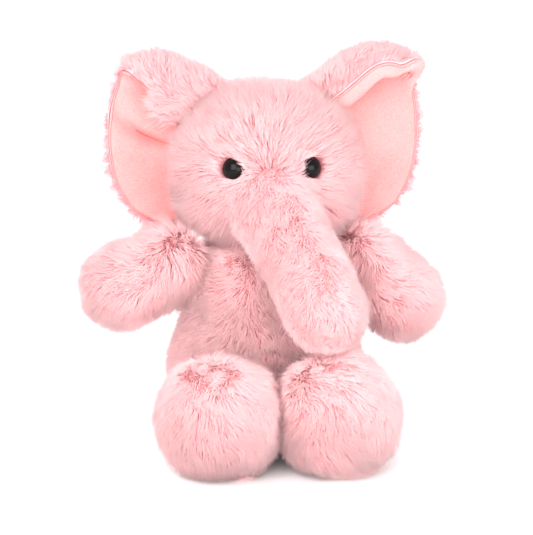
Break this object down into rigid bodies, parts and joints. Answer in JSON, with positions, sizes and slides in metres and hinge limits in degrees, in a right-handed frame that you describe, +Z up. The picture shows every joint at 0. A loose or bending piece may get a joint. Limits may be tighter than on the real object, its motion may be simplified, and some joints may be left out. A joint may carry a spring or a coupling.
{
  "type": "stuffed elephant",
  "caption": "Sitting stuffed elephant of long-pile plush with a drooping trunk, large lined ears, dome eyes and short padded limbs.",
  "frame": {"origin": "centre of the flat seat, on the surface that the elephant sits on", "axes": "+Z up through the head; the elephant faces -Y; its left side is +X"},
  "size_m": [0.1784, 0.1739, 0.1905],
  "materials": {
    "plush_pile": "long acrylic and polyester pile, light pink",
    "ear_lining": "short smooth nap, peach pink",
    "stuffing": "loose polyester fibre fill",
    "bag_cloth": "plain woven cotton",
    "pellet_plastic": "polyethylene granules",
    "sewing_thread": "spun polyester thread",
    "label_ribbon": "blank satin ribbon",
    "eye_plastic": "polished black dome",
    "washer_plastic": "moulded polypropylene"
  },
  "bodies": {
    "torso": {"torso_front": "plush_pile", "torso_back": "plush_pile", "torso_base": "plush_pile", "torso_stuffing": "stuffing", "pellet_bag": "bag_cloth", "pellets": "pellet_plastic", "back_closing_seam": "sewing_thread", "care_label": "label_ribbon", "neck_seam": "sewing_thread", "arm_left_seam": "sewing_thread", "arm_right_seam": "sewing_thread", "leg_left_seam": "sewing_thread", "leg_right_seam": "sewing_thread", "tail_seam": "sewing_thread"},
    "neck": {"neck_plug": "stuffing"},
    "head": {"head_side_left": "plush_pile", "head_side_right": "plush_pile", "head_gusset": "plush_pile", "head_stuffing": "stuffing", "eye_left": "eye_plastic", "eye_right": "eye_plastic", "eye_washer_left": "washer_plastic", "eye_washer_right": "washer_plastic", "trunk_root_top": "plush_pile", "trunk_root_under": "plush_pile", "trunk_root_stuffing": "stuffing"},
    "trunk_middle": {"trunk_middle_top": "plush_pile", "trunk_middle_under": "plush_pile", "trunk_middle_stuffing": "stuffing"},
    "trunk_tip": {"trunk_tip_top": "plush_pile", "trunk_tip_under": "plush_pile", "trunk_tip_stuffing": "stuffing"},
    "ear_left": {"ear_left_back": "plush_pile", "ear_left_lining": "ear_lining"},
    "ear_right": {"ear_right_back": "plush_pile", "ear_right_lining": "ear_lining"},
    "arm_left": {"arm_left_front": "plush_pile", "arm_left_rear": "plush_pile", "arm_left_stuffing": "stuffing"},
    "arm_right": {"arm_right_front": "plush_pile", "arm_right_rear": "plush_pile", "arm_right_stuffing": "stuffing"},
    "leg_left": {"leg_left_upper": "plush_pile", "leg_left_under": "plush_pile", "leg_left_sole": "plush_pile", "leg_left_stuffing": "stuffing"},
    "leg_right": {"leg_right_upper": "plush_pile", "leg_right_under": "plush_pile", "leg_right_sole": "plush_pile", "leg_right_stuffing": "stuffing"},
    "tail": {"tail": "plush_pile"}
  },
  "joints": [
    {"name": "head_turn", "type": "hinge", "parent": "torso", "child": "neck", "pos_m": [0, 0, 0.1], "axis": [0, 0, 1], "range_deg": [-12, 12], "stiffness_Nm_per_rad": 0.3},
    {"name": "head_nod", "type": "hinge", "parent": "neck", "child": "head", "pos_m": [0, 0, 0.1], "axis": [-1, 0, 0], "range_deg": [-2, 14], "stiffness_Nm_per_rad": 0.8},
    {"name": "trunk_lift", "type": "hinge", "parent": "head", "child": "trunk_middle", "pos_m": [0.00956, -0.04726, 0.10779], "axis": [-0.891, -0.454, 0], "range_deg": [-2, 32], "stiffness_Nm_per_rad": 0.15},
    {"name": "trunk_curl", "type": "hinge", "parent": "trunk_middle", "child": "trunk_tip", "pos_m": [0.01644, -0.06076, 0.09398], "axis": [-0.891, -0.454, 0], "range_deg": [-2, 32], "stiffness_Nm_per_rad": 0.08},
    {"name": "ear_left_flap", "type": "hinge", "parent": "head", "child": "ear_left", "pos_m": [0.04362, 0.016, 0.1475], "axis": [0, 0, 1], "range_deg": [-20, 22], "stiffness_Nm_per_rad": 0.05},
    {"name": "ear_right_flap", "type": "hinge", "parent": "head", "child": "ear_right", "pos_m": [-0.04362, 0.016, 0.1475], "axis": [0, 0, -1], "range_deg": [-20, 22], "stiffness_Nm_per_rad": 0.05},
    {"name": "arm_left_raise", "type": "hinge", "parent": "torso", "child": "arm_left", "pos_m": [0.04743, -0.00582, 0.08992], "axis": [0, -1, 0], "range_deg": [-8, 35], "stiffness_Nm_per_rad": 0.08},
    {"name": "arm_right_raise", "type": "hinge", "parent": "torso", "child": "arm_right", "pos_m": [-0.04743, -0.00582, 0.08992], "axis": [0, 1, 0], "range_deg": [-15, 35], "stiffness_Nm_per_rad": 0.08},
    {"name": "leg_left_swing", "type": "hinge", "parent": "torso", "child": "leg_left", "pos_m": [0.0285, -0.05202, 0.028], "axis": [-1, 0, 0], "range_deg": [-22, 2], "stiffness_Nm_per_rad": 0.15},
    {"name": "leg_right_swing", "type": "hinge", "parent": "torso", "child": "leg_right", "pos_m": [-0.0285, -0.05202, 0.028], "axis": [-1, 0, 0], "range_deg": [-22, 20], "stiffness_Nm_per_rad": 0.15},
    {"name": "tail_swing", "type": "hinge", "parent": "torso", "child": "tail", "pos_m": [0, 0.05069, 0.02561], "axis": [0, 0, 1], "range_deg": [-35, 35], "stiffness_Nm_per_rad": 0.02}
  ]
}
